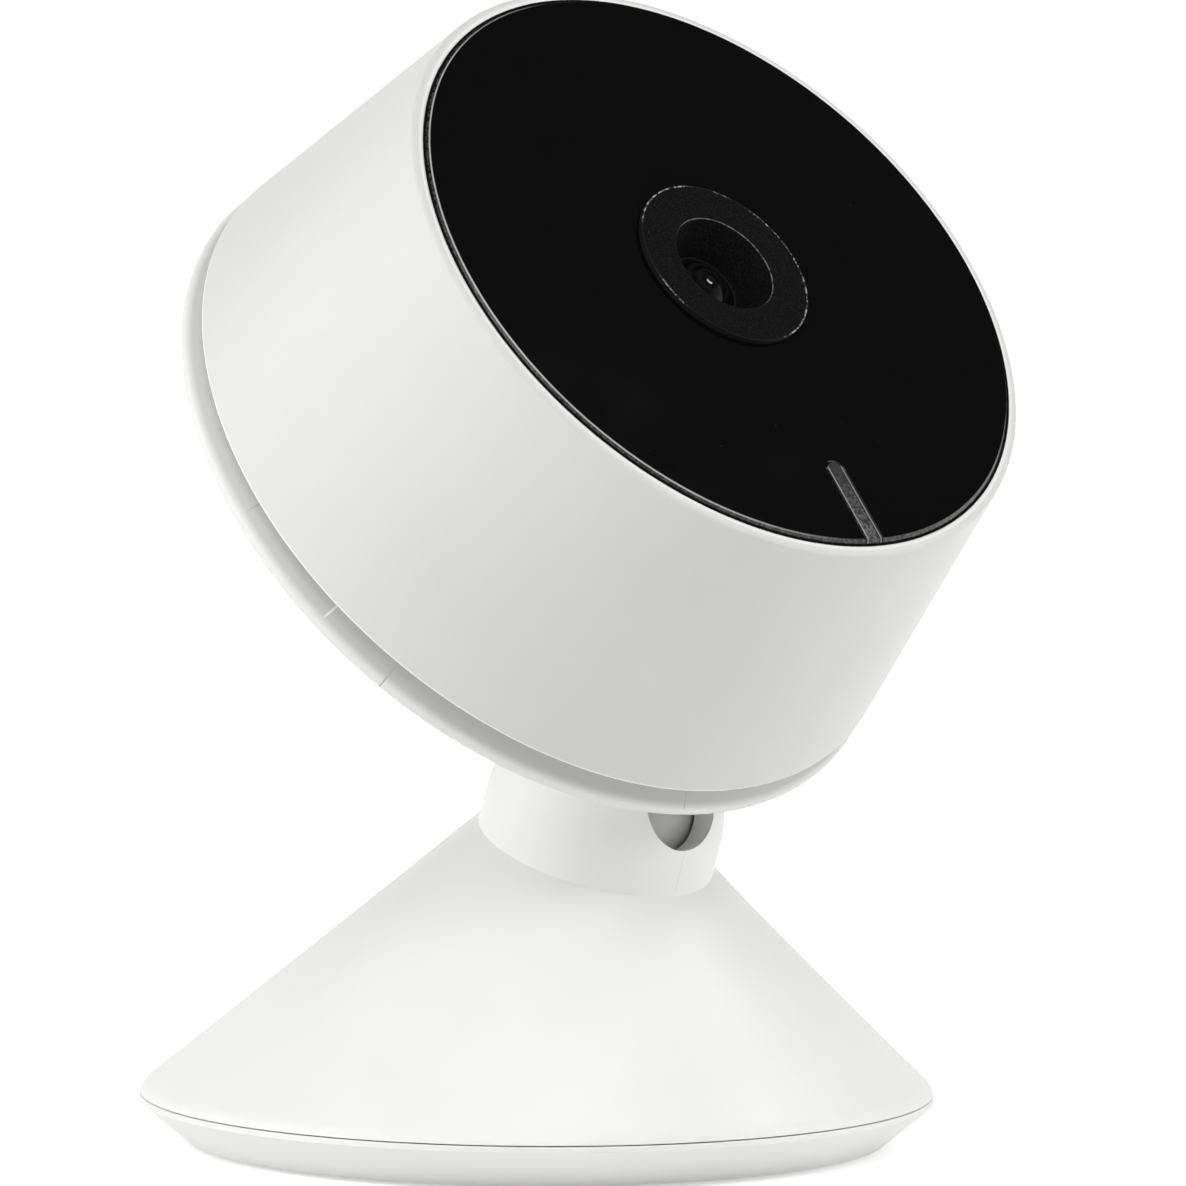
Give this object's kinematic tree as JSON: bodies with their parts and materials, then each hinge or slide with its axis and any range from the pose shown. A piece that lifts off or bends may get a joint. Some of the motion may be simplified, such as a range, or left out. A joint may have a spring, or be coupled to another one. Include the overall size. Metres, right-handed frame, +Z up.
{
  "type": "security camera",
  "caption": "Indoor security camera with a round cone-sided head and black glass front, carried by a ball joint on a leaning neck over a weighted cone base.",
  "frame": {"origin": "centre of the underside, on the surface that the rubber foot stands on", "axes": "+Z up, -Y towards the front of the camera, +X to the right seen from the front"},
  "size_m": [0.0734, 0.0793, 0.1037],
  "materials": {
    "white_plastic": "fine satin moulding",
    "front_glass": "smoked black, polished, bevelled edge",
    "black_print": "black print seen through the glass",
    "light_pipe": "frosted translucent grey",
    "bezel_black": "fine matte texture",
    "lens_glass": "coated lens",
    "lens_metal": "black anodised",
    "black_plastic": "black moulding",
    "grey_plastic": "grey moulding",
    "circuit_board": "green solder mask",
    "chip": "moulded chip package",
    "led": "clear light package",
    "filter_glass": "coated filter",
    "steel": "zinc plated",
    "brass": "turned",
    "aluminium": "plain sheet",
    "speaker_body": "black basket",
    "rubber": "dark grey non-slip rubber"
  },
  "bodies": {
    "base": {"base_shell": "white_plastic", "base_plate": "white_plastic", "rubber_foot": "rubber", "ballast": "steel", "ballast_screw": "steel", "base_screws": "steel", "friction_cup": "grey_plastic", "clamp_spring": "steel", "clamp_plate": "steel", "clamp_screws": "steel"},
    "ball": {"ball_stem": "white_plastic", "stem_washer": "steel", "stem_nut": "steel"},
    "head": {"head_shell": "white_plastic", "rear_cover": "white_plastic", "front_glass": "front_glass", "mask_film": "black_print", "light_pipe": "light_pipe", "lens_bezel": "bezel_black", "lens_front_element": "lens_glass", "lens_barrel": "lens_metal", "front_frame": "black_plastic", "lens_holder": "black_plastic", "board_connector": "black_plastic", "led_connector": "black_plastic", "reset_switch": "black_plastic", "sensor_board": "circuit_board", "main_board": "circuit_board", "led_board": "circuit_board", "wifi_antenna": "circuit_board", "processor": "chip", "image_sensor": "chip", "light_sensor": "chip", "filter_actuator": "chip", "infrared_leds": "led", "status_led": "led", "lens_holder_screws": "steel", "board_screws": "steel", "rear_cover_screws": "steel", "power_socket": "steel", "microphone": "steel", "board_standoffs": "brass", "heat_spreader": "aluminium", "speaker": "speaker_body", "speaker_gasket": "rubber"},
    "filter": {"ir_cut_filter": "filter_glass"},
    "button": {"reset_button": "grey_plastic"}
  },
  "joints": [
    {"name": "head_tilt", "type": "hinge", "parent": "base", "child": "ball", "pos_m": [0, -0.00872, 0.03033], "axis": [-1, 0, 0], "range_deg": [-30, 48]},
    {"name": "head_roll", "type": "hinge", "parent": "ball", "child": "head", "pos_m": [0, -0.00872, 0.03033], "axis": [0, -0.7638, 0.6455], "range_deg": [-30, 30]},
    {"name": "filter_slide", "type": "slide", "parent": "head", "child": "filter", "axis": [1, 0, 0], "range_m": [0, 0.005]},
    {"name": "reset_press", "type": "slide", "parent": "head", "child": "button", "axis": [0, -0.7638, 0.6455], "range_m": [0, 0.0004], "stiffness_N_per_m": 3000, "springref_m": -0.0002}
  ]
}
